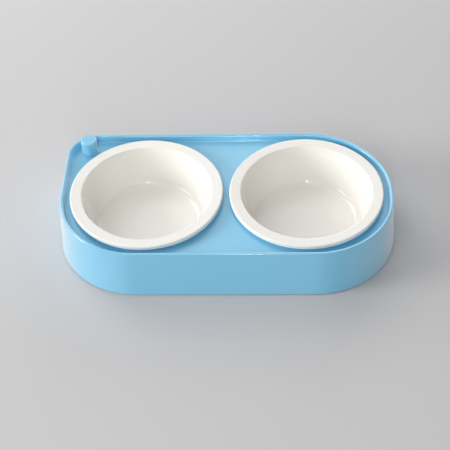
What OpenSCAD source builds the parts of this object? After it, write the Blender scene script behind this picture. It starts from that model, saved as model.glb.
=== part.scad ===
// Double pet bowl: a moulded tray with two lift-out bowls on four soft feet.
// Origin: the middle of the tray, on the surface that the feet stand on.
// X runs to the right, Y to the back and Z up. Sizes are in millimetres.

/* [Bowls] */
// Outer diameter of a bowl's rim
bowl_diameter = 140; // [124:1:170]
// Width of the rim, from its outer edge to the mouth
rim_band = 11; // [7.5:0.5:14]
// Thickness of the rim
rim_thick = 4; // [2.5:0.25:5]
// Depth of a bowl, from the top of its rim to its floor
bowl_depth = 38.5; // [26:0.5:40]
// Thickness of a bowl's wall
bowl_wall = 3.2; // [2:0.2:4]
// Thickness of a bowl's floor
bowl_floor = 3.4; // [2.4:0.2:4.4]
// Lean of a bowl's wall from upright, in degrees
wall_lean = 16; // [8:1:24]
// Radius of the inside corner between wall and floor
floor_fillet = 7; // [3:0.5:12]
// Height of the ring that a bowl stands on when it is out of the tray
foot_ring_height = 1.6; // [0.6:0.2:2]
// Width of that ring
foot_ring_width = 4; // [3:0.5:7]

/* [Tray] */
// Gap between the rims of the two bowls
bowl_gap = 5.6; // [3:0.2:20]
// Gap between a bowl's rim and the wall at each end
end_gap = 5.2; // [3:0.2:14]
// Gap between a bowl's rim and the wall at front and back
side_gap = 5.5; // [3:0.1:14]
// Height of the tray's rim above the surface that it stands on
rim_height = 50.2; // [49:0.2:62]
// Thickness of the tray's outer wall
wall = 3; // [2.2:0.2:4]
// Flare of the skirt on each side, from the rim down to its foot
skirt_flare = 3.5; // [0.5:0.5:5]
// Radius on the edges of the rim
rim_edge = 1; // [0.6:0.1:1.4]
// Depth of the deck below the rim
deck_drop = 7; // [6:0.5:11]
// Thickness of the deck
deck_thick = 2.6; // [2:0.2:4]
// Radius between the deck and the wall round it
deck_fillet = 2.4; // [1:0.2:2.6]
// How much tighter the front corners are than a half round
front_tightening = 7; // [3:1:30]
// Radius of the square back left corner
back_left_radius = 29; // [24:1:40]

/* [Wells] */
// Clearance between a bowl and its well
well_clearance = 1; // [0.6:0.1:2]
// Thickness of the collar round a well
collar_thick = 2.4; // [2:0.2:3.2]
// Height of the collar above the deck, which carries the bowl's rim
collar_rise = 3.3; // [1.5:0.1:4.5]
// Reach of the collar below the deck
collar_drop = 6; // [3:0.5:12]

/* [Corner post] */
// Diameter of the post
post_diameter = 15; // [12:0.2:16]
// Height of the post above the deck
post_height = 15.6; // [10:0.2:30]
// Distance from the tray's left side to the post's axis, at the rim
post_from_left = 20; // [18:0.1:21.4]
// Distance from the tray's back to the post's axis, at the rim
post_from_back = 17; // [15:0.2:18]
// Radius on the post's top edge
post_edge = 0.9; // [0.4:0.1:1.6]
// Radius between the post and the deck
post_fillet = 1.2; // [0.4:0.2:2]

/* [Feet] */
// How far the feet lift the skirt off the surface
foot_lift = 1; // [0.6:0.2:2]
// Height of a foot's pad
pad_height = 2.5; // [2.2:0.1:4]
// Diameter of a foot's stem
stem_diameter = 7; // [5:0.5:7.6]
// Length of a foot's stem
stem_length = 7; // [4:0.5:12]
// Clearance between a stem and its socket, at the radius
stem_clearance = 0.1; // [0.05:0.01:0.2]
// Wall of the socket round a stem
socket_wall = 2.2; // [1.6:0.1:2.6]

/* [Ribs] */
// Thickness of the ribs under the deck
rib_thick = 2; // [1.4:0.2:3]
// Height of the ribs' lower ends above the surface
rib_foot = 14; // [8:1:24]
// Height of the middle rib's lower edge above the surface
middle_rib_foot = 20; // [12:1:30]

/* [Hidden] */
$fn = 96;

tray_blue = [0.50, 0.75, 0.88];
glaze_white = [0.93, 0.93, 0.90];
rubber_grey = [0.42, 0.44, 0.46];

// Steps in a small rounding and in a larger one
edge_steps = 6;
fillet_steps = 8;
// Overrun that takes a cut clear of what it cuts
over = 1;

// Rim of the tray, seen from above
well_x = (bowl_diameter + bowl_gap) / 2;
half_length = well_x + bowl_diameter / 2 + end_gap + wall;
half_depth = bowl_diameter / 2 + side_gap + wall;
front_radius = half_depth - front_tightening;
back_right_radius = half_depth;

// Corners, counterclockwise from the front right: centre, radius and first angle
corners = [
    [[half_length - front_radius, front_radius - half_depth], front_radius, -90],
    [[half_length - back_right_radius, half_depth - back_right_radius], back_right_radius, 0],
    [[back_left_radius - half_length, half_depth - back_left_radius], back_left_radius, 90],
    [[front_radius - half_length, front_radius - half_depth], front_radius, 180]
];
front_right = corners[0];
back_right = corners[1];
back_left = corners[2];
front_left = corners[3];

// Heights
deck_z = rim_height - deck_drop;
deck_under = deck_z - deck_thick;
deck_middle = deck_z - deck_thick / 2;
seat_z = deck_z + collar_rise;
collar_foot = deck_z - collar_drop;
bowl_top = seat_z + rim_thick;
floor_z = bowl_top - bowl_depth;

// Inside of the wall above the deck leans a little, so that the mould lets go
recess_lean = 0.3;
// Deck strip that the wall's section carries, past the fillet
deck_strip = 2;
strip_reach = wall + recess_lean + deck_fillet + deck_strip;

// Bowl
bowl_radius = bowl_diameter / 2;
mouth_radius = bowl_radius - rim_band;
mouth_edge = 2;
lip_edge = 1.2;
lip_under_edge = 0.6;
lean_sin = sin(wall_lean);
lean_cos = cos(wall_lean);
// The wall's inside line starts where the mouth's rounding ends
wall_top_z = bowl_top - mouth_edge * (1 + lean_sin);
wall_top_r = mouth_radius + mouth_edge * (1 - lean_cos);
fillet_z = floor_z + floor_fillet;
wall_foot_z = fillet_z - floor_fillet * lean_sin;
wall_foot_r = wall_top_r - (wall_top_z - wall_foot_z) * tan(wall_lean);
floor_radius = wall_foot_r - floor_fillet * lean_cos;
// Outside of the wall, one wall thickness out, where it meets the rim's seat
body_radius = wall_foot_r + (seat_z - wall_foot_z) * tan(wall_lean) + bowl_wall / lean_cos;
base_z = floor_z - bowl_floor;
outer_fillet = floor_fillet + bowl_wall;
outer_fillet_z = fillet_z - bowl_floor + bowl_wall;

// Wells and feet
well_radius = body_radius + well_clearance;
collar_radius = well_radius + collar_thick;
collar_middle = well_radius + collar_thick / 2;
collar_edge = 0.5;
stem_radius = stem_diameter / 2;
socket_radius = stem_radius + stem_clearance;
lug_radius = socket_radius + socket_wall;
socket_depth = stem_length + 2;
// A lug bites into the collar that it stands beside
lug_bite = 0.5;
lug_distance = collar_radius + lug_radius - lug_bite;
lug_angle = 45;
pad_edge = 0.5;

// Corner post
post_radius = post_diameter / 2;
post_at = [post_from_left - half_length, half_depth - post_from_back];
post_top = deck_z + post_height;
post_roof = 2.4;

// Two dimensional helpers
function along(angle, distance) = distance * [cos(angle), sin(angle)];
function heading(from, to) = atan2(to[1] - from[1], to[0] - from[0]);
function arc(centre, radius, first, last, steps) =
    [for (i = [0:steps]) centre + along(first + (last - first) * i / steps, radius)];

// How far the outside of the wall stands out from the rim's outline at a height
function flare_at(z) = skirt_flare * (rim_height - z) / (rim_height - foot_lift);
function wall_middle(z) = flare_at(z) - wall / 2;

// Section of the wall with its strip of deck. X is measured outwards from the rim's outline.
wall_section = concat(
    [[flare_at(foot_lift), foot_lift]],
    arc([-rim_edge, rim_height - rim_edge], rim_edge, 0, 90, edge_steps),
    arc([rim_edge - wall, rim_height - rim_edge], rim_edge, 90, 180, edge_steps),
    arc([-wall - recess_lean - deck_fillet, deck_z + deck_fillet], deck_fillet, 0, -90, fillet_steps),
    [
        [-strip_reach, deck_z],
        [-strip_reach, deck_under],
        [flare_at(deck_under) - wall, deck_under],
        [flare_at(foot_lift) - wall, foot_lift]
    ]
);

// Outline of the deck, inset from the rim's outline by the strip less a little overlap
deck_overlap = 1;
deck_inset = strip_reach - deck_overlap;
deck_outline = [
    for (corner = corners)
        each arc(corner[0], corner[1] - deck_inset, corner[2], corner[2] + 90, 3 * fillet_steps)
];

// Section of a bowl, from the middle of its floor out over the rim and back below
bowl_section = concat(
    [[0, floor_z]],
    arc([floor_radius, fillet_z], floor_fillet, -90, -wall_lean, fillet_steps),
    arc([mouth_radius + mouth_edge, bowl_top - mouth_edge], mouth_edge, 180 - wall_lean, 90, edge_steps),
    arc([bowl_radius - lip_edge, bowl_top - lip_edge], lip_edge, 90, 0, edge_steps),
    arc([bowl_radius - lip_under_edge, seat_z + lip_under_edge], lip_under_edge, 0, -90, edge_steps),
    [[body_radius, seat_z]],
    arc([floor_radius, outer_fillet_z], outer_fillet, -wall_lean, -90, fillet_steps),
    [
        [floor_radius, base_z - foot_ring_height],
        [floor_radius - foot_ring_width, base_z - foot_ring_height],
        [floor_radius - foot_ring_width - foot_ring_height / 2, base_z],
        [0, base_z]
    ]
);

// The wall turned round one corner
module wall_corner(corner) {
    translate(corner[0])
        rotate(corner[2])
            rotate_extrude(angle = 90)
                translate([corner[1], 0])
                    polygon(wall_section);
}

// The straight wall from one corner to the next
module wall_run(corner, next) {
    outward = corner[2] + 90;
    run = (next[0] - corner[0]) * along(outward + 90, 1);
    translate(corner[0])
        rotate(outward)
            translate([corner[1], run, 0])
                rotate([90, 0, 0])
                    linear_extrude(run)
                        polygon(wall_section);
}

module outer_wall() {
    for (i = [0:len(corners) - 1]) {
        wall_corner(corners[i]);
        wall_run(corners[i], corners[(i + 1) % len(corners)]);
    }
}

module deck_plate() {
    translate([0, 0, deck_under])
        linear_extrude(deck_thick)
            polygon(deck_outline);
}

// An upright rib from a point outwards. Its far end follows the wall's lean where leans is true.
module rib(from, angle, reach, inner_foot, outer_foot, leans = true) {
    lean_top = leans ? wall_middle(deck_middle) : 0;
    lean_foot = leans ? wall_middle(outer_foot) : 0;
    translate(from)
        rotate(angle)
            translate([0, rib_thick / 2, 0])
                rotate([90, 0, 0])
                    linear_extrude(rib_thick)
                        polygon([
                            [0, inner_foot],
                            [reach + lean_foot, outer_foot],
                            [reach + lean_top, deck_middle],
                            [0, deck_middle]
                        ]);
}

// A rib out of a well to the wall
module well_rib(side, angle, reach) {
    shaft = collar_foot - rib_foot;
    // The lower edge drops to rib_foot at the wall and reaches the collar's foot at the well
    inner_foot = rib_foot + shaft * reach / (reach - collar_radius);
    rib([side * well_x, 0], angle, reach, min(inner_foot, deck_middle), rib_foot);
}

function corner_reach(side, corner) = norm(corner[0] - [side * well_x, 0]) + corner[1];

module ribs() {
    for (side = [-1, 1]) {
        well_rib(side, -90, half_depth);
        well_rib(side, 90, half_depth);
        well_rib(side, side > 0 ? 0 : 180, half_length - well_x);
    }
    well_rib(1, -lug_angle, corner_reach(1, front_right));
    well_rib(1, lug_angle, corner_reach(1, back_right));
    well_rib(-1, 180 + lug_angle, corner_reach(-1, front_left));
    for (angle = [-90, 90]) {
        rib([0, 0], angle, half_depth, middle_rib_foot, middle_rib_foot);
    }
    // Two ribs tie the post's shaft to the left well and to the corner behind it
    rib(post_at, heading(post_at, [-well_x, 0]), norm(post_at - [-well_x, 0]), rib_foot, collar_foot, false);
    rib(
        post_at, heading(back_left[0], post_at), back_left_radius - norm(post_at - back_left[0]),
        rib_foot, rib_foot
    );
}

// Places of the feet, which the lugs and the post's shaft stand over
function lug_at(side, angle) = [side * well_x, 0] + along(angle, lug_distance);
foot_front_left_at = lug_at(-1, 180 + lug_angle);
foot_front_right_at = lug_at(1, -lug_angle);
foot_back_right_at = lug_at(1, lug_angle);
foot_back_left_at = post_at;

module lugs() {
    for (place = [foot_front_left_at, foot_front_right_at, foot_back_right_at]) {
        translate([place[0], place[1], pad_height])
            cylinder(h = deck_middle - pad_height, r = lug_radius);
    }
}

module sockets() {
    for (place = [foot_front_left_at, foot_front_right_at, foot_back_right_at]) {
        translate([place[0], place[1], pad_height - over])
            cylinder(h = socket_depth + over, r = socket_radius);
    }
}

// The corner post above the deck and its shaft below, which is cored out from underneath
module post_outside() {
    translate(post_at)
        rotate_extrude()
            polygon(concat(
                [[0, pad_height], [post_radius, pad_height], [post_radius, deck_middle]],
                [[post_radius + post_fillet, deck_middle]],
                arc(
                    [post_radius + post_fillet, deck_z + post_fillet], post_fillet,
                    -90, -180, edge_steps
                ),
                arc([post_radius - post_edge, post_top - post_edge], post_edge, 0, 90, edge_steps),
                [[0, post_top]]
            ));
}

module post_core() {
    translate([post_at[0], post_at[1], pad_height - over])
        cylinder(h = post_top - post_roof - pad_height + over, r = socket_radius);
}

// The collar that lines a well and carries the bowl's rim on its top
module collar(side) {
    translate([side * well_x, 0])
        rotate_extrude()
            polygon([
                [well_radius, collar_foot],
                [collar_radius, collar_foot],
                [collar_radius, seat_z - collar_edge],
                [collar_radius - collar_edge, seat_z],
                [well_radius + collar_edge, seat_z],
                [well_radius, seat_z - collar_edge]
            ]);
}

module tray_shell() {
    color(tray_blue) {
        difference() {
            union() {
                outer_wall();
                deck_plate();
                ribs();
                lugs();
                post_outside();
            }
            for (side = [-1, 1]) {
                translate([side * well_x, 0, -over])
                    cylinder(h = rim_height + 2 * over, r = collar_middle);
            }
            sockets();
            post_core();
        }
        collar(-1);
        collar(1);
    }
}

module bowl(side) {
    color(glaze_white)
        translate([side * well_x, 0])
            rotate_extrude()
                polygon(bowl_section);
}

module foot(place) {
    color(rubber_grey)
        translate(place)
            rotate_extrude()
                polygon([
                    [0, 0],
                    [lug_radius - pad_edge, 0],
                    [lug_radius, pad_edge],
                    [lug_radius, pad_height],
                    [stem_radius, pad_height],
                    [stem_radius, pad_height + stem_length - pad_edge],
                    [stem_radius - pad_edge, pad_height + stem_length],
                    [0, pad_height + stem_length]
                ]);
}

tray_shell();
bowl(-1);  // bowl_left
bowl(1);  // bowl_right
foot(foot_front_left_at);  // foot_front_left
foot(foot_front_right_at);  // foot_front_right
foot(foot_back_left_at);  // foot_back_left
foot(foot_back_right_at);  // foot_back_right
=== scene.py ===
# Double pet bowl: a moulded tray, two lift-out glazed bowls and four soft feet, modelled round the
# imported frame. Units are metres. X runs to the right, Y to the back, Z up, and the tray stands on Z = 0.
import math

import bmesh
import bpy
from mathutils import Matrix, Vector


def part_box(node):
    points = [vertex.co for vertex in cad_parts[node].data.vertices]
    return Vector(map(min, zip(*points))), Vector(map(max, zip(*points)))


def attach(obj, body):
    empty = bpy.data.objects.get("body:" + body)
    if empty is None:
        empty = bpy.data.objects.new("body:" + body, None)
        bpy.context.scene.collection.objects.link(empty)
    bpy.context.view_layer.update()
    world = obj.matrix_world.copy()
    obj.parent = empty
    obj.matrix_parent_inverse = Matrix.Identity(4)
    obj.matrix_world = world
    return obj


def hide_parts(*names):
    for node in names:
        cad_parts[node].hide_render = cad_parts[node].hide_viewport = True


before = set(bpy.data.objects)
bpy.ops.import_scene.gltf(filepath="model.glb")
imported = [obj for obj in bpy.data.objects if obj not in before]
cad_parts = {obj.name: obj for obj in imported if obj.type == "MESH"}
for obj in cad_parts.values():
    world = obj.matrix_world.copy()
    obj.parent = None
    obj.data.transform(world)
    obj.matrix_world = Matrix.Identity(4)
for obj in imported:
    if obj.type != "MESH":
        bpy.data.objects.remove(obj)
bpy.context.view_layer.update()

bl_info = {
    "name": "Double pet bowl",
    "version": (1, 0, 0),
    "blender": (4, 5, 0),
    "location": "View3D > Sidebar > Pet bowl",
    "description": "Models and finishes a moulded tray with two lift-out bowls on four soft feet",
    "category": "Object",
}

TRAY_LOW, TRAY_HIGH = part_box("tray_shell")
BOWL_LOW, BOWL_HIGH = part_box("bowl_right")
FEET = ("foot_front_left", "foot_front_right", "foot_back_left", "foot_back_right")
POST_FOOT = "foot_back_left"
ORIGIN = Vector((0, 0))

# Steps in a whole turn: of a bowl, a well or a collar, of the post, and of a bore, a lug or a foot
TURN_STEPS = 160
POST_STEPS = 96
LUG_STEPS = 64
# Steps in a corner of the tray and in the roundings of its rim and its post
CORNER_STEPS = 48
EDGE_STEPS = 6
# How far a fillet's foot stands above the deck, so that the two surfaces cross cleanly
FILLET_LIFT = 0.00002
MERGE_DISTANCE = 1e-6
SMOOTH_ANGLE = math.radians(32)


def size(name, description, default):
    return bpy.props.FloatProperty(
        name=name, description=description, default=default, unit="LENGTH", precision=5)


def tint(name, description, default):
    return bpy.props.FloatVectorProperty(
        name=name, description=description, default=default, subtype="COLOR", size=3)


def number(name, description, default):
    return bpy.props.FloatProperty(name=name, description=description, default=default)


def group(kind, name, description):
    return bpy.props.PointerProperty(type=kind, name=name, description=description)


class PETBOWL_PG_tray(bpy.types.PropertyGroup):
    wall: size("Wall", "Thickness of the outer wall", 0.003)
    skirt_flare: size("Skirt flare", "How far the skirt's foot stands out from the rim", 0.0035)
    rim_height: size("Rim height", "Height of the rim above the surface", 0.0502)
    rim_edge: size("Rim edge", "Radius on the outer edge of the rim", 0.001)
    inner_edge: size("Inner edge", "Radius on the inner edge of the rim", 0.002)
    foot_edge: size("Foot edge", "Radius on the edges of the skirt's foot", 0.0004)
    deck_drop: size("Deck drop", "Depth of the deck below the rim", 0.007)
    deck_thick: size("Deck thickness", "Thickness of the deck", 0.0026)
    deck_fillet: size("Deck fillet", "Radius between the deck and the wall round it", 0.0014)
    deck_margin: size("Deck margin", "Width of the flat ring of faces beside that fillet", 0.0015)
    recess_lean: size("Recess lean", "Lean of the wall's inside above the deck", 0.0003)
    front_radius: size("Front corners", "Radius of both front corners at the rim", 0.0715)
    back_right_radius: size("Back right corner", "Radius of the back right corner at the rim", 0.0785)
    back_left_radius: size("Back left corner", "Radius of the square corner with the post", 0.029)


class PETBOWL_PG_well(bpy.types.PropertyGroup):
    radius: size("Well radius", "Radius of the hole that a bowl hangs in", 0.062991)
    collar_thick: size("Collar thickness", "Thickness of the collar round a well", 0.0024)
    collar_rise: size("Collar rise", "Height of the collar above the deck", 0.0033)
    collar_drop: size("Collar drop", "Reach of the collar below the deck", 0.006)
    collar_edge: size("Collar edge", "Radius on the collar's edges", 0.0005)
    collar_fillet: size("Collar fillet", "Radius between the collar and the deck", 0.0007)


class PETBOWL_PG_post(bpy.types.PropertyGroup):
    radius: size("Post radius", "Radius of the corner post", 0.0075)
    edge: size("Post edge", "Radius on the post's top edge", 0.0009)
    fillet: size("Post fillet", "Radius between the post and the deck", 0.0012)
    roof: size("Post roof", "Thickness of the post's top over its hollow", 0.0024)


class PETBOWL_PG_ribs(bpy.types.PropertyGroup):
    thick: size("Rib thickness", "Thickness of the ribs", 0.002)
    edge: size("Rib edge", "Radius on the ribs' lower edges", 0.0005)
    foot: size("Rib foot", "Height of the ribs' lower ends above the surface", 0.014)
    middle_foot: size("Middle rib foot", "Height of the middle rib's lower edge", 0.020)
    socket_radius: size("Socket radius", "Radius of the sockets for the feet", 0.0036)
    socket_depth: size("Socket depth", "Depth of the sockets for the feet", 0.009)
    lug_radius: size("Lug radius", "Radius of the lugs over the feet", 0.0058)


class PETBOWL_PG_bowl(bpy.types.PropertyGroup):
    rim_band: size("Rim band", "Width of the rim, from its outer edge to the mouth", 0.011)
    rim_thick: size("Rim thickness", "Thickness of the rim", 0.004)
    depth: size("Depth", "Depth from the top of the rim to the floor", 0.0385)
    wall: size("Wall", "Thickness of the bowl's wall", 0.0032)
    floor: size("Floor", "Thickness of the bowl's floor", 0.0034)
    lean: bpy.props.FloatProperty(
        name="Lean", description="Lean of the wall from upright", default=math.radians(16), subtype="ANGLE")
    fillet: size("Fillet", "Radius of the inside corner between wall and floor", 0.007)
    mouth_edge: size("Mouth edge", "Radius where the rim turns down into the bowl", 0.002)
    rim_fall: size("Rim fall", "How far the rim falls towards the mouth", 0.0005)
    lip_edge: size("Lip edge", "Radius on the rim's upper outer edge", 0.0012)
    lip_under_edge: size("Lip under edge", "Radius on the rim's lower outer edge", 0.0006)
    under_fillet: size("Under fillet", "Radius between the rim's underside and the wall", 0.0012)
    ring_height: size("Foot ring height", "Height of the unglazed ring below the bowl", 0.0016)
    ring_width: size("Foot ring width", "Width of that ring", 0.004)
    ring_edge: size("Foot ring edge", "Radius on that ring's edges", 0.0005)


class PETBOWL_PG_foot(bpy.types.PropertyGroup):
    pad_height: size("Pad height", "Height of a foot's pad", 0.0025)
    pad_edge: size("Pad edge", "Radius on a pad's lower edge", 0.0006)
    stem_radius: size("Stem radius", "Radius of the stem in its socket", 0.0035)
    stem_edge: size("Stem edge", "Chamfer on the stem's upper end", 0.0005)


class PETBOWL_PG_finish(bpy.types.PropertyGroup):
    plastic: tint("Tray", "Colour of the moulded tray", (0.124, 0.525, 0.788))
    plastic_pale: tint("Tray, pale", "Colour of the paler clouds in the moulding", (0.133, 0.539, 0.802))
    skin_depth: size("Skin depth", "Depth of the moulding's skin and waves", 0.00002)
    glaze: tint("Glaze", "Colour of the bowls' glaze", (0.930, 0.912, 0.860))
    glaze_thin: tint("Glaze, thin", "Colour where the glaze is thin", (0.910, 0.888, 0.830))
    ripple_depth: size("Ripple depth", "Depth of the ripples in the glaze", 0.00003)
    clay: tint("Clay", "Colour of the bare clay below the bowls", (0.640, 0.600, 0.520))
    clay_edge: size("Clay edge", "Width over which the glaze ends at the clay", 0.0002)
    clay_stray: size("Clay stray", "How far that edge strays up and down", 0.0003)
    rubber: tint("Feet", "Colour of the soft feet", (0.150, 0.160, 0.170))
    rubber_dusty: tint("Feet, dusty", "Colour where dust lies on the feet", (0.210, 0.224, 0.238))
    grain_depth: size("Grain depth", "Depth of the grain on the feet", 0.00005)


class PETBOWL_PG_stage(bpy.types.PropertyGroup):
    floor: tint("Floor", "Colour of the floor", (0.612, 0.600, 0.600))
    floor_pale: tint("Floor, pale", "Colour of the floor's paler fibres", (0.634, 0.622, 0.622))
    fibre_depth: size("Fibre depth", "Depth of the floor's fibres", 0.0001)
    backdrop: tint("Backdrop", "Colour that the camera and the gloss see all round", (0.62, 0.63, 0.65))
    sky_colour: tint("Sky colour", "Colour of the light from all round", (0.97, 0.985, 1.0))
    sky: number("Sky", "Strength of the light from all round", 0.24)
    window: number("Window", "Power of the low window light from the left, in watts", 69.0)
    side: number("Side light", "Power of the soft light from behind on the left, in watts", 7.4)
    front: number("Front light", "Power of the low soft light in front, in watts", 1.2)
    high: number("High front light", "Power of the high soft light in front, in watts", 3.8)
    back: number("Back light", "Power of the low light behind, in watts", 6.8)
    top: number("Top light", "Power of the soft light overhead, in watts", 3.2)
    gloss: number("Gloss light", "Power of the small light that the deck mirrors, in watts", 0.5)
    spark: number("Spark", "Power of the narrow light in front that draws the bright streak, in watts", 3.9)


def settings():
    return bpy.context.scene.petbowl


class PETBOWL_PG_all(bpy.types.PropertyGroup):
    tray: group(PETBOWL_PG_tray, "Tray", "Sizes of the tray")
    well: group(PETBOWL_PG_well, "Wells", "Sizes of the wells")
    post: group(PETBOWL_PG_post, "Post", "Sizes of the corner post")
    ribs: group(PETBOWL_PG_ribs, "Ribs", "Sizes below the deck")
    bowl: group(PETBOWL_PG_bowl, "Bowls", "Sizes of a bowl")
    foot: group(PETBOWL_PG_foot, "Feet", "Sizes of a foot")
    finish: group(PETBOWL_PG_finish, "Finish", "Colours and grain of the pieces")
    stage: group(PETBOWL_PG_stage, "Stage", "Floor and lights")


# Helpers for modelling by hand

def new_primitive(add, name, **options):
    if bpy.context.mode != "OBJECT":
        bpy.ops.object.mode_set(mode="OBJECT")
    bpy.ops.object.select_all(action="DESELECT")
    add(**options)
    piece = bpy.context.object
    piece.name = piece.data.name = name
    return piece


def pick(piece, kind, wanted):
    """Select in edit mode the verts, edges or faces whose middle passes a test."""
    bpy.ops.mesh.select_mode(type=kind)
    bpy.ops.mesh.select_all(action="DESELECT")
    mesh = bmesh.from_edit_mesh(piece.data)
    if kind == "VERT":
        for vert in mesh.verts:
            vert.select = wanted(vert.co)
    elif kind == "EDGE":
        for edge in mesh.edges:
            edge.select = wanted((edge.verts[0].co + edge.verts[1].co) / 2)
    else:
        for face in mesh.faces:
            face.select = wanted(face.calc_center_median())
    mesh.select_flush(True)
    bmesh.update_edit_mesh(piece.data)


def choose(piece):
    """Make a piece the active one and the only one selected."""
    bpy.ops.object.select_all(action="DESELECT")
    piece.select_set(True)
    bpy.context.view_layer.objects.active = piece


def edit(piece):
    choose(piece)
    bpy.ops.object.mode_set(mode="EDIT")


def leave():
    bpy.ops.object.mode_set(mode="OBJECT")


def face_outwards():
    bpy.ops.mesh.select_all(action="SELECT")
    bpy.ops.mesh.remove_doubles(threshold=MERGE_DISTANCE)
    bpy.ops.mesh.normals_make_consistent(inside=False)


def settle(piece):
    """Apply a piece's place, so that its object sits at the origin."""
    choose(piece)
    bpy.ops.object.transform_apply(location=True, rotation=True, scale=True)


def copied(model, name, place):
    """A copy of a model that was made at the origin, with its own mesh, at a place of the plan."""
    piece = model.copy()
    piece.data = model.data.copy()
    piece.name = piece.data.name = name
    bpy.context.collection.objects.link(piece)
    piece.location = (place.x, place.y, 0)
    settle(piece)
    return piece


def apply_modifier(piece, kind, **options):
    bpy.context.view_layer.objects.active = piece
    modifier = piece.modifiers.new(kind.title(), kind)
    for name, value in options.items():
        setattr(modifier, name, value)
    bpy.ops.object.modifier_apply(modifier=modifier.name)


def cut_or_join(piece, tool, operation):
    """Combine a solid with a tool solid, which is then used up."""
    apply_modifier(piece, "BOOLEAN", operation=operation, object=tool, solver="EXACT")
    bpy.data.objects.remove(tool)


def arc(centre, radius, first, last, steps):
    """Points of an arc in a section, by degrees from first to last."""
    angles = [math.radians(first + (last - first) * i / steps) for i in range(steps + 1)]
    return [(centre[0] + radius * math.cos(a), centre[1] + radius * math.sin(a)) for a in angles]


def turned(name, place, section, steps=TURN_STEPS):
    """A piece turned about an upright axis. The section is a list of (radius, height) points."""
    start = Vector((place.x + section[0][0], place.y, section[0][1]))
    piece = new_primitive(bpy.ops.mesh.primitive_plane_add, name, size=1, location=start)
    edit(piece)
    bpy.ops.mesh.select_mode(type="VERT")
    bpy.ops.mesh.select_all(action="SELECT")
    bpy.ops.mesh.merge(type="CENTER")
    for near, far in zip(section, section[1:]):
        step = (far[0] - near[0], 0, far[1] - near[1])
        bpy.ops.mesh.extrude_vertices_move(TRANSFORM_OT_translate={"value": step})
    bpy.ops.mesh.select_all(action="SELECT")
    bpy.ops.mesh.spin(steps=steps, angle=2 * math.pi, center=(place.x, place.y, 0), axis=(0, 0, 1))
    face_outwards()
    leave()
    settle(piece)
    return piece


def finish_surface(piece):
    """Smooth the curves, keep the edges and let the flat faces stay flat."""
    choose(piece)
    bpy.ops.object.shade_smooth_by_angle(angle=SMOOTH_ANGLE)
    apply_modifier(piece, "WEIGHTED_NORMAL", keep_sharp=True)


# Places and heights that the pieces share

def plan_middle(node):
    """Middle of a CAD node's box, seen from above."""
    low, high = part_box(node)
    return Vector(((low.x + high.x) / 2, (low.y + high.y) / 2))


def well_places():
    return [plan_middle(node) for node in ("bowl_left", "bowl_right")]


def flare_at(tray, height):
    return tray.skirt_flare * (tray.rim_height - height) / (tray.rim_height - TRAY_LOW.z)


def wall_middle(tray, height):
    """Distance of the wall's middle outside the rim's outline."""
    return flare_at(tray, height) - tray.wall / 2


def deck_height(tray):
    return tray.rim_height - tray.deck_drop


def deck_middle(tray):
    return deck_height(tray) - tray.deck_thick / 2


def collar_middle(well):
    """Radius of the middle of a collar's wall."""
    return well.radius + well.collar_thick / 2


def shaft_middle(post, ribs):
    """Radius of the middle of the wall round the post's bore."""
    return (post.radius + ribs.socket_radius) / 2


# Tray

def follow_section(section):
    """Inset and raise the selected face from point to point of a section measured outwards from the rim."""
    for near, far in zip(section, section[1:]):
        bpy.ops.mesh.inset(thickness=near[0] - far[0], depth=0, use_even_offset=True)
        bpy.ops.transform.translate(value=(0, 0, far[1] - near[1]))


def tray_wall(tray):
    """The outer wall, the deck inside it and the hollow below, grown from the skirt's outline."""
    foot = TRAY_LOW.z
    rim = tray.rim_height
    deck = deck_height(tray)
    under = deck - tray.deck_thick
    edge, rim_edge, inner_edge = tray.foot_edge, tray.rim_edge, tray.inner_edge
    half = Vector((TRAY_HIGH.x, TRAY_HIGH.y))
    band = (foot + edge, foot + 2 * edge)
    piece = new_primitive(
        bpy.ops.mesh.primitive_plane_add, "tray_shell_moulding", size=1, location=(0, 0, 0))
    edit(piece)
    bpy.ops.transform.resize(value=(2 * half.x, 2 * half.y, 1))
    bpy.ops.transform.translate(value=(0, 0, band[0]))
    corners = (
        (1, -1, tray.front_radius), (1, 1, tray.back_right_radius),
        (-1, 1, tray.back_left_radius), (-1, -1, tray.front_radius),
    )
    for x_side, y_side, radius in corners:
        pick(piece, "VERT", lambda co: co.x * x_side > half.x - edge and co.y * y_side > half.y - edge)
        bpy.ops.mesh.bevel(
            offset=radius + tray.skirt_flare, segments=CORNER_STEPS, profile=0.5, affect="VERTICES")
    bpy.ops.mesh.select_mode(type="FACE")
    bpy.ops.mesh.select_all(action="SELECT")
    bpy.ops.mesh.extrude_region_move(TRANSFORM_OT_translate={"value": (0, 0, band[1] - band[0])})
    inner = -tray.wall - tray.recess_lean - tray.deck_fillet
    follow_section(
        [(tray.skirt_flare, band[1])]
        + arc((-rim_edge, rim - rim_edge), rim_edge, 0, 90, EDGE_STEPS)
        + arc((inner_edge - tray.wall, rim - inner_edge), inner_edge, 90, 180, EDGE_STEPS)
        + arc((inner, deck + tray.deck_fillet), tray.deck_fillet, 0, -90, EDGE_STEPS + 2)
        + [(inner - tray.deck_margin, deck)]
    )
    pick(piece, "FACE", lambda co: abs(co.z - band[0]) < MERGE_DISTANCE)
    skirt_inside = flare_at(tray, foot) - tray.wall
    roof_inside = flare_at(tray, under) - tray.wall
    # The first rounding starts a little past the upright, because an inset needs some width
    follow_section(
        [(tray.skirt_flare, band[0])]
        + arc((tray.skirt_flare - edge, foot + edge), edge, -15, -90, steps=3)
        + arc((skirt_inside + edge, foot + edge), edge, -90, -180, steps=4)
        + arc((roof_inside - edge, under - edge), edge, 0, 90, steps=3)
        + [(roof_inside - edge - tray.deck_margin, under)]
    )
    face_outwards()
    leave()
    return piece


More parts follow.
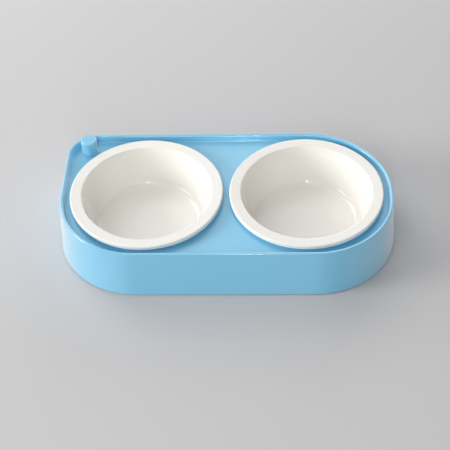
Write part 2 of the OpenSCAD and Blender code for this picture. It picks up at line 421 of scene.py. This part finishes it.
class PETBOWL_OT_tray(bpy.types.Operator):
    """Model the tray: wall, deck, wells with collars, corner post, ribs, lugs and sockets"""
    bl_idname = "petbowl.tray"
    bl_label = "Tray"

    def execute(self, context):
        sizes = settings()
        tray, well, post, ribs = sizes.tray, sizes.well, sizes.post, sizes.ribs
        piece = tray_wall(tray)
        for place in well_places():
            cut_or_join(piece, rod("well_cutter", place, collar_middle(well), TURN_STEPS), "DIFFERENCE")
        bore = rod("bore_cutter", plan_middle(POST_FOOT), shaft_middle(post, ribs), LUG_STEPS)
        cut_or_join(piece, bore, "DIFFERENCE")
        for place in well_places():
            cut_or_join(piece, collar(tray, well, place), "UNION")
        for run in rib_runs(tray, well, post, ribs):
            cut_or_join(piece, rib(tray, ribs, *run), "UNION")
        for name in FEET:
            if name == POST_FOOT:
                carrier = post_solid(tray, post, ribs)
            else:
                carrier = lug(tray, ribs, plan_middle(name))
            cut_or_join(piece, carrier, "UNION")
        finish_surface(piece)
        piece.data.materials.append(plastic_finish())
        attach(piece, "tray")
        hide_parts("tray_shell")
        return {"FINISHED"}


def rod(name, place, radius, steps):
    """An upright round cutter, as tall as the tray with its post."""
    piece = new_primitive(
        bpy.ops.mesh.primitive_cylinder_add, name, vertices=steps, radius=radius, depth=TRAY_HIGH.z,
        location=(place.x, place.y, TRAY_HIGH.z / 2))
    settle(piece)
    return piece


def rib_runs(tray, well, post, ribs):
    """Each rib's start and end in plan, its lower edge's height at both, and if it ends at the wall."""
    rim = Vector((TRAY_HIGH.x, TRAY_HIGH.y)) - Vector((tray.skirt_flare, tray.skirt_flare))
    collar = collar_middle(well)
    collar_foot = deck_height(tray) - well.collar_drop
    left, right = well_places()
    # Each rib out of a well runs along a direction for a distance measured from the well's middle
    front_corner = Vector((rim.x - tray.front_radius, tray.front_radius - rim.y))
    back_corner = Vector((rim.x - tray.back_right_radius, rim.y - tray.back_right_radius))
    front_reach = (front_corner - right).length + tray.front_radius
    back_reach = (back_corner - right).length + tray.back_right_radius
    slant = math.sqrt(0.5)
    out_of_wells = [(right, Vector((1, 0)), rim.x - right.x), (left, Vector((-1, 0)), rim.x + left.x)]
    for place in (left, right):
        out_of_wells += [(place, Vector((0, side)), rim.y) for side in (-1, 1)]
    out_of_wells += [
        (right, Vector((slant, -slant)), front_reach),
        (right, Vector((slant, slant)), back_reach),
        (left, Vector((-slant, -slant)), front_reach),
    ]
    # Its lower edge aims at the deck over the well's middle, so it stands lower than the collar's foot
    middle = deck_middle(tray)
    for place, way, reach in out_of_wells:
        run = reach + wall_middle(tray, ribs.foot)
        inner_foot = middle + (ribs.foot - middle) * collar / run
        yield place + way * collar, place + way * reach, inner_foot, ribs.foot, True
    for side in (-1, 1):
        yield ORIGIN, Vector((0, side * rim.y)), ribs.middle_foot, ribs.middle_foot, True
    # Two ribs tie the post's shaft to the left well and to the corner behind it
    axis = plan_middle(POST_FOOT)
    shaft = shaft_middle(post, ribs)
    to_well = (left - axis).normalized()
    slope = (collar_foot - ribs.foot) / (left - axis).length
    collar_side = collar_foot - slope * collar
    yield axis + to_well * shaft, left - to_well * collar, ribs.foot + slope * shaft, collar_side, False
    corner = Vector((tray.back_left_radius - rim.x, rim.y - tray.back_left_radius))
    to_corner = (axis - corner).normalized()
    yield axis + to_corner * shaft, corner + to_corner * tray.back_left_radius, ribs.foot, ribs.foot, True


def rib(tray, ribs, start, end, start_foot, end_foot, at_wall):
    """An upright rib between two points of the plan, up to the middle of the deck."""
    top = deck_middle(tray)
    reach = (end - start).length
    way = (end - start).normalized()
    side = Vector((way.y, -way.x, 0))
    foot_lean, top_lean = (wall_middle(tray, height) if at_wall else 0 for height in (end_foot, top))
    # Where the corners of the first plane go, along the rib and up
    targets = {
        (-1, -1): (0, start_foot),
        (1, -1): (reach + foot_lean, end_foot),
        (1, 1): (reach + top_lean, top),
        (-1, 1): (0, top),
    }
    piece = new_primitive(
        bpy.ops.mesh.primitive_plane_add, "rib", size=2, location=(start.x, start.y, 0),
        rotation=(math.radians(90), 0, math.atan2(way.y, way.x)))
    edit(piece)
    for (x, y), (along, height) in targets.items():
        pick(piece, "VERT", lambda co: (co - Vector((x, y, 0))).length < 0.5)
        move = way * (along - x)
        bpy.ops.transform.translate(value=(move.x, move.y, height - y))
    bpy.ops.mesh.select_mode(type="FACE")
    bpy.ops.mesh.select_all(action="SELECT")
    bpy.ops.transform.translate(value=side * (-ribs.thick / 2))
    bpy.ops.mesh.extrude_region_move(TRANSFORM_OT_translate={"value": side * ribs.thick})
    # In the plane's own axes X runs along the rib, Y up and Z across
    slope = (end_foot - start_foot) / reach
    pick(piece, "EDGE", lambda co: (
        abs(co.z) > ribs.thick / 3 and co.y < start_foot + slope * co.x + ribs.edge))
    bpy.ops.mesh.bevel(offset=ribs.edge, segments=2, affect="EDGES")
    face_outwards()
    leave()
    settle(piece)
    return piece


def collar(tray, well, place):
    """The ring that lines a well and carries the bowl's rim."""
    deck = deck_height(tray)
    low, high = deck - well.collar_drop, deck + well.collar_rise
    inside, outside = well.radius, well.radius + well.collar_thick
    edge, fillet = well.collar_edge, well.collar_fillet
    section = (
        arc((inside + edge, low + edge), edge, 180, 270, steps=4)
        + arc((outside - edge, low + edge), edge, 270, 360, steps=4)
        + [(outside, deck_middle(tray)), (outside + fillet, deck_middle(tray))]
        + arc((outside + fillet, deck + fillet + FILLET_LIFT), fillet, 270, 180, steps=5)
        + arc((outside - edge, high - edge), edge, 0, 90, steps=4)
        + arc((inside + edge, high - edge), edge, 90, 180, steps=4)
    )
    return turned("collar", place, section + section[:1])


def post_solid(tray, post, ribs):
    """The corner post above the deck and its shaft below, cored out from underneath."""
    middle = deck_middle(tray)
    top = TRAY_HIGH.z
    fillet_side = post.radius + post.fillet
    fillet_top = deck_height(tray) + post.fillet + FILLET_LIFT
    section = (
        shaft_foot(post.radius, ribs.socket_radius, ribs.edge)
        + [(post.radius, middle), (fillet_side, middle)]
        + arc((fillet_side, fillet_top), post.fillet, 270, 180, EDGE_STEPS)
        + arc((post.radius - post.edge, top - post.edge), post.edge, 0, 90, EDGE_STEPS)
        + [(0, top), (0, top - post.roof), (ribs.socket_radius, top - post.roof)]
    )
    return turned("post", plan_middle(POST_FOOT), section + section[:1], POST_STEPS)


def lug(tray, ribs, place):
    """A round lug under the deck with the socket for a foot's stem."""
    middle = deck_middle(tray)
    roof = settings().foot.pad_height + ribs.socket_depth
    section = shaft_foot(ribs.lug_radius, ribs.socket_radius, ribs.edge)
    section += [(ribs.lug_radius, middle), (0, middle), (0, roof), (ribs.socket_radius, roof)]
    return turned("lug", place, section + section[:1], LUG_STEPS)


def shaft_foot(outside, inside, edge):
    """Section of a shaft's lower end, from its bore out to its side, where a foot's pad seats."""
    foot = settings().foot.pad_height
    return [(inside, foot)] + arc((outside - edge, foot + edge), edge, -90, 0, steps=3)


# Bowls and feet

def bowl_section(bowl):
    """Section of a bowl, from the middle of its floor over the rim and back to the middle below."""
    top = BOWL_HIGH.z
    rim = (BOWL_HIGH.x - BOWL_LOW.x) / 2
    seat = top - bowl.rim_thick
    mouth = rim - bowl.rim_band
    floor = top - bowl.depth
    lean = math.degrees(bowl.lean)
    sine, cosine, tangent = (f(bowl.lean) for f in (math.sin, math.cos, math.tan))
    # The inside: the wall from its foot up to the mouth, and the rim that falls towards the mouth
    edge, fall = bowl.mouth_edge, bowl.rim_fall
    wall_top = Vector((mouth + edge * (1 - cosine), top - edge * (1 + sine)))
    foot_height = floor + bowl.fillet * (1 - sine)
    foot_radius = wall_top.x - (wall_top.y - foot_height) * tangent
    floor_radius = foot_radius - bowl.fillet * cosine
    slope = math.degrees(math.atan(fall / (bowl.rim_band - edge - bowl.lip_edge)))
    # The outside: the lip, the wall below it and the foot ring, whose inner side slants
    lip, under, fillet = bowl.lip_edge, bowl.lip_under_edge, bowl.under_fillet
    body = foot_radius + (seat - foot_height) * tangent + bowl.wall / cosine
    base = floor - bowl.floor
    outer = bowl.fillet + bowl.wall
    ring_inside, ring_edge = floor_radius - bowl.ring_width, bowl.ring_edge
    ring_foot = base - bowl.ring_height
    return (
        [(0, floor), (floor_radius / 2, floor)]
        + arc((floor_radius, floor + bowl.fillet), bowl.fillet, -90, -lean, steps=12)
        + arc((mouth + edge - fall * tangent, top - edge - fall), edge, 180 - lean, 90 + slope, steps=10)
        + arc((rim - lip, top - lip), lip, 90 + slope, 0, steps=8)
        + arc((rim - under, seat + under), under, 0, -90, steps=5)
        + arc((body + fillet, seat - fillet), fillet, 90, 180 - lean, steps=4)
        + arc((floor_radius, base + outer), outer, -lean, -90, steps=12)
        + arc((floor_radius - ring_edge, ring_foot + ring_edge), ring_edge, 0, -90, steps=4)
        + arc((ring_inside + ring_edge, ring_foot + ring_edge), ring_edge, -90, -150, steps=4)
        + [(ring_inside - bowl.ring_height / 2, base), (floor_radius / 2, base), (0, base)]
    )


def foot_section(foot):
    """Section of a foot, from the middle of its underside to the middle of its stem's end."""
    low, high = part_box(POST_FOOT)
    radius = (high.x - low.x) / 2
    edge, chamfer = foot.pad_edge, foot.stem_edge
    return (
        [(0, low.z)]
        + arc((radius - edge, low.z + edge), edge, -90, 0, steps=4)
        + [(radius, foot.pad_height), (foot.stem_radius, foot.pad_height)]
        + [(foot.stem_radius, high.z - chamfer), (foot.stem_radius - chamfer, high.z), (0, high.z)]
    )


class PETBOWL_OT_bowls(bpy.types.Operator):
    """Turn one glazed bowl and set a copy in each well"""
    bl_idname = "petbowl.bowls"
    bl_label = "Bowls"

    def execute(self, context):
        model = turned("bowl", ORIGIN, bowl_section(settings().bowl))
        finish = glaze_finish()
        for side, place in zip(("left", "right"), well_places()):
            piece = copied(model, f"bowl_{side}_glazed", place)
            finish_surface(piece)
            piece.data.materials.append(finish)
            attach(piece, f"{side}_bowl")
            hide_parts(f"bowl_{side}")
        bpy.data.objects.remove(model)
        return {"FINISHED"}


class PETBOWL_OT_feet(bpy.types.Operator):
    """Turn one soft foot and set a copy in each socket"""
    bl_idname = "petbowl.feet"
    bl_label = "Feet"

    def execute(self, context):
        model = turned("foot", ORIGIN, foot_section(settings().foot), LUG_STEPS)
        finish = rubber_finish()
        for name in FEET:
            piece = copied(model, f"{name}_pad", plan_middle(name))
            finish_surface(piece)
            piece.data.materials.append(finish)
            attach(piece, "tray")
            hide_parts(name)
        bpy.data.objects.remove(model)
        return {"FINISHED"}


# Finishes

class Signal:
    """A shader socket that stands in a sum: each operator adds its Math node."""

    def __init__(self, graph, socket):
        self.graph = graph
        self.socket = socket

    def __add__(self, other):
        return self.graph.maths("ADD", self, other)

    def __mul__(self, other):
        return self.graph.maths("MULTIPLY", self, other)

    def __sub__(self, other):
        return self.graph.maths("SUBTRACT", self, other)

    def __rsub__(self, other):
        return self.graph.maths("SUBTRACT", other, self)

    __radd__ = __add__
    __rmul__ = __mul__


class Graph:
    """A node tree and the one way to add a node to it."""

    def __init__(self, tree):
        self.tree = tree

    def node(self, kind, output=0, choices=(), **inputs):
        node = self.tree.nodes.new(kind)
        for name, value in dict(choices).items():
            setattr(node, name, value)
        self.feed(node, inputs)
        return Signal(self, node.outputs[output])

    def feed(self, node, inputs):
        """Set or link sockets by name, or by number where the name is a number after an underscore."""
        for name, value in inputs.items():
            key = int(name[1:]) if name[1:].isdigit() else name.replace("_", " ")
            socket = node.inputs[key]
            if isinstance(value, Signal):
                self.tree.links.new(value.socket, socket)
            else:
                socket.default_value = value

    def maths(self, operation, first, second, clamp=False):
        choices = {"operation": operation, "use_clamp": clamp}
        return self.node("ShaderNodeMath", choices=choices, _0=first, _1=second)


class Finish(Graph):
    """A material whose patterns lie on the piece's own coordinates."""

    def __init__(self, name):
        self.material = bpy.data.materials.new(name)
        self.material.use_nodes = True
        super().__init__(self.material.node_tree)
        self.shader = self.tree.nodes["Principled BSDF"]
        self.place = self.node("ShaderNodeTexCoord", "Object")

    def noise(self, scale, detail, roughness=0.5):
        return self.node(
            "ShaderNodeTexNoise", Vector=self.place, Scale=scale, Detail=detail, Roughness=roughness)

    def height(self):
        return self.node("ShaderNodeSeparateXYZ", 2, Vector=self.place)

    def blend(self, amount, first, second):
        choices = {"data_type": "RGBA"}
        return self.node("ShaderNodeMix", 2, choices, _0=amount, _6=first, _7=second)

    def bump(self, height, distance, strength):
        return self.node("ShaderNodeBump", Height=height, Distance=distance, Strength=strength)

    def set(self, **inputs):
        self.feed(self.shader, inputs)


def opaque(colour):
    return (*colour, 1.0)


def plastic_finish():
    """Smooth glossy moulding: faint clouds in the colour, a fine skin and slightly duller patches."""
    looks = settings().finish
    finish = Finish("tray_plastic_moulded")
    clouds = finish.noise(scale=9.0, detail=3.0)
    smudges = finish.noise(scale=38.0, detail=5.0, roughness=0.62)
    skin = finish.noise(scale=2600.0, detail=2.0)
    waves = finish.noise(scale=70.0, detail=1.0)
    finish.set(
        Base_Color=finish.blend(clouds, opaque(looks.plastic), opaque(looks.plastic_pale)),
        Roughness=0.24 + smudges * 0.04,
        IOR=1.5,
        Coat_Weight=1.0,
        Coat_Roughness=0.1,
        Sheen_Weight=0.7,
        Sheen_Roughness=0.6,
        Normal=finish.bump(skin * 0.15 + waves * 0.5, looks.skin_depth, strength=0.5),
    )
    return finish.material


def glaze_finish():
    """Thick warm white glaze, wiped off down to the bare clay on the ring below the bowl."""
    looks = settings().finish
    finish = Finish("bowl_glaze_fired")
    clouds = finish.noise(scale=30.0, detail=4.0)
    waves = finish.noise(scale=55.0, detail=2.0)
    grit = finish.noise(scale=900.0, detail=4.0)
    # The glaze ends in the middle of the ring's height, on an edge that the grit makes uneven
    wiped = BOWL_LOW.z + settings().bowl.ring_height / 2
    below = wiped + grit * looks.clay_stray - finish.height()
    bare = finish.maths("MULTIPLY", below, 1 / looks.clay_edge, clamp=True)
    glaze = finish.blend(clouds, opaque(looks.glaze), opaque(looks.glaze_thin))
    finish.set(
        Base_Color=finish.blend(bare, glaze, opaque(looks.clay)),
        Roughness=0.12 + clouds * 0.06 + bare * 0.6,
        IOR=1.52,
        Coat_Weight=0.4 - bare * 0.4,
        Coat_Roughness=0.05,
        Normal=finish.bump(waves + bare * grit * 2.0, looks.ripple_depth, strength=0.5),
    )
    return finish.material


def rubber_finish():
    """Matt soft rubber with a fine grain and a little dust."""
    looks = settings().finish
    finish = Finish("foot_rubber_soft")
    grain = finish.noise(scale=1800.0, detail=3.0)
    dust = finish.noise(scale=300.0, detail=4.0)
    finish.set(
        Base_Color=finish.blend(dust, opaque(looks.rubber), opaque(looks.rubber_dusty)),
        Roughness=0.62 + dust * 0.2,
        Normal=finish.bump(grain, looks.grain_depth, strength=0.6),
    )
    return finish.material


# Stage

# The photograph's view: elevation, turn and roll in degrees, distance, aim and focal length in pixels
VIEW_ELEVATION = 45.81
VIEW_TURN = 2.88
VIEW_ROLL = -2.35
VIEW_DISTANCE = 1.0696
VIEW_AIM = (-0.00136, -0.01879, 0.025)
VIEW_FOCUS_PIXELS = 1170.4
FRAME_PIXELS = 450
# The sensor's width is in millimetres, as the camera's settings are
SENSOR_WIDTH = 36.0
NEAREST_SEEN = 0.01
FLOOR_RADIUS = 7.0

LAMP_DISTANCE = 1.6
WINDOW_DISTANCE = 3.2
LAMP_SIDE = 0.9
# Each lamp's name and the setting of its power, the azimuth and elevation that it shines from in
# degrees, its distance, and its width and height
LAMPS = (
    ("window_left", "window", 192, 16.5, WINDOW_DISTANCE, 1.2, 1.2),
    ("side_left", "side", 135, 35, LAMP_DISTANCE, LAMP_SIDE, LAMP_SIDE),
    ("fill_front", "front", 270, 20, LAMP_DISTANCE, LAMP_SIDE, LAMP_SIDE),
    ("high_front", "high", 248, 46, LAMP_DISTANCE, LAMP_SIDE, LAMP_SIDE),
    ("strip_back", "back", 75, 20, LAMP_DISTANCE, LAMP_SIDE, LAMP_SIDE),
    ("overhead", "top", 125, 66, LAMP_DISTANCE, LAMP_SIDE, LAMP_SIDE),
    ("deck_gloss", "gloss", 88, 46, LAMP_DISTANCE, 0.6, 0.4),
    ("spark", "spark", 269.8, 25, LAMP_DISTANCE, 0.075, 1.0),
)


def add_camera():
    rise, turn, roll = (math.radians(v) for v in (VIEW_ELEVATION, VIEW_TURN, VIEW_ROLL))
    forward = Vector((-math.sin(turn) * math.cos(rise), math.cos(turn) * math.cos(rise), -math.sin(rise)))
    right = Vector((math.cos(turn), math.sin(turn), 0))
    up = right.cross(forward)
    tilted_right = right * math.cos(roll) + up * math.sin(roll)
    tilted_up = up * math.cos(roll) - right * math.sin(roll)
    camera = bpy.data.objects.new("camera", bpy.data.cameras.new("camera"))
    bpy.context.scene.collection.objects.link(camera)
    place = Vector(VIEW_AIM) - forward * VIEW_DISTANCE
    axes = Matrix((tilted_right, tilted_up, -forward)).transposed()
    camera.matrix_world = Matrix.Translation(place) @ axes.to_4x4()
    camera.data.sensor_width = SENSOR_WIDTH
    camera.data.lens = SENSOR_WIDTH * VIEW_FOCUS_PIXELS / FRAME_PIXELS
    camera.data.clip_start = NEAREST_SEEN
    bpy.context.scene.camera = camera


def around(azimuth, elevation, distance):
    """A place round the part: azimuth counterclockwise from +X and elevation, both in degrees."""
    turn, rise = math.radians(azimuth), math.radians(elevation)
    level = math.cos(rise)
    return Vector((math.cos(turn) * level, math.sin(turn) * level, math.sin(rise))) * distance


def add_softbox(name, place, power, width, height):
    """A soft lamp that shines at the origin."""
    lamp = bpy.data.lights.new(name, "AREA")
    lamp.shape = "RECTANGLE"
    lamp.size, lamp.size_y = width, height
    lamp.energy = power
    box = bpy.data.objects.new(name, lamp)
    bpy.context.scene.collection.objects.link(box)
    box.location = place
    box.rotation_euler = (-place).to_track_quat("-Z", "Y").to_euler()
    box.visible_camera = False


def add_sky(stage):
    """Even light from all round. The camera and the gloss see a backdrop as pale as the floor."""
    world = bpy.data.worlds.new("studio")
    bpy.context.scene.world = world
    world.use_nodes = True
    sky = Graph(world.node_tree)
    light = sky.tree.nodes["Background"]
    sky.feed(light, {"Color": opaque(stage.sky_colour), "Strength": stage.sky})
    backdrop = sky.node("ShaderNodeBackground", Color=opaque(stage.backdrop))
    camera_ray, gloss_ray, clear_ray = (
        sky.node("ShaderNodeLightPath", f"Is {kind} Ray") for kind in ("Camera", "Glossy", "Transmission"))
    seen = sky.maths("MAXIMUM", sky.maths("MAXIMUM", camera_ray, gloss_ray), clear_ray)
    choice = sky.node("ShaderNodeMixShader", _0=seen, _1=Signal(sky, light.outputs[0]), _2=backdrop)
    sky.feed(sky.tree.nodes["World Output"], {"Surface": choice})


def add_floor(stage):
    floor = new_primitive(
        bpy.ops.mesh.primitive_circle_add, "floor", vertices=96, radius=FLOOR_RADIUS, fill_type="NGON")
    finish = Finish("floor_paper")
    fibres = finish.noise(scale=420.0, detail=4.0, roughness=0.6)
    clouds = finish.noise(scale=5.0, detail=3.0)
    finish.set(
        Base_Color=finish.blend(fibres * 0.5 + clouds * 0.5, opaque(stage.floor), opaque(stage.floor_pale)),
        Roughness=0.8 + fibres * 0.1,
        Specular_IOR_Level=0.2,
        Normal=finish.bump(fibres, stage.fibre_depth, strength=0.3),
    )
    floor.data.materials.append(finish.material)


class PETBOWL_OT_stage(bpy.types.Operator):
    """Set up the camera, the floor and the soft studio light"""
    bl_idname = "petbowl.stage"
    bl_label = "Stage"

    def execute(self, context):
        stage = settings().stage
        add_camera()
        add_floor(stage)
        add_sky(stage)
        for name, power, azimuth, elevation, distance, width, height in LAMPS:
            place = around(azimuth, elevation, distance)
            add_softbox(name, place, getattr(stage, power), width, height)
        context.scene.view_settings.view_transform = "Standard"
        return {"FINISHED"}


class PETBOWL_PT_panel(bpy.types.Panel):
    """Sizes, colours and operators of the double pet bowl"""
    bl_label = "Double pet bowl"
    bl_idname = "PETBOWL_PT_panel"
    bl_space_type = "VIEW_3D"
    bl_region_type = "UI"
    bl_category = "Pet bowl"

    def draw(self, context):
        for row, operator in PANEL_ROWS:
            box = self.layout.box()
            values = getattr(settings(), row)
            for name in values.bl_rna.properties.keys():
                if name not in ("rna_type", "name"):
                    box.prop(values, name)
            if operator:
                box.operator(operator)


PANEL_ROWS = (
    ("tray", None), ("well", None), ("post", None), ("ribs", "petbowl.tray"),
    ("bowl", "petbowl.bowls"), ("foot", "petbowl.feet"), ("finish", None), ("stage", "petbowl.stage"),
)

CLASSES = (
    PETBOWL_PG_tray, PETBOWL_PG_well, PETBOWL_PG_post, PETBOWL_PG_ribs, PETBOWL_PG_bowl, PETBOWL_PG_foot,
    PETBOWL_PG_finish, PETBOWL_PG_stage, PETBOWL_PG_all,
    PETBOWL_OT_tray, PETBOWL_OT_bowls, PETBOWL_OT_feet, PETBOWL_OT_stage, PETBOWL_PT_panel,
)


def register():
    for item in CLASSES:
        bpy.utils.register_class(item)
    bpy.types.Scene.petbowl = group(
        PETBOWL_PG_all, "Double pet bowl", "Sizes, colours and stage of the double pet bowl")


def unregister():
    del bpy.types.Scene.petbowl
    for item in reversed(CLASSES):
        bpy.utils.unregister_class(item)


def main():
    register()
    bpy.ops.petbowl.tray()
    bpy.ops.petbowl.bowls()
    bpy.ops.petbowl.feet()
    bpy.ops.petbowl.stage()


if __name__ == "__main__":
    main()
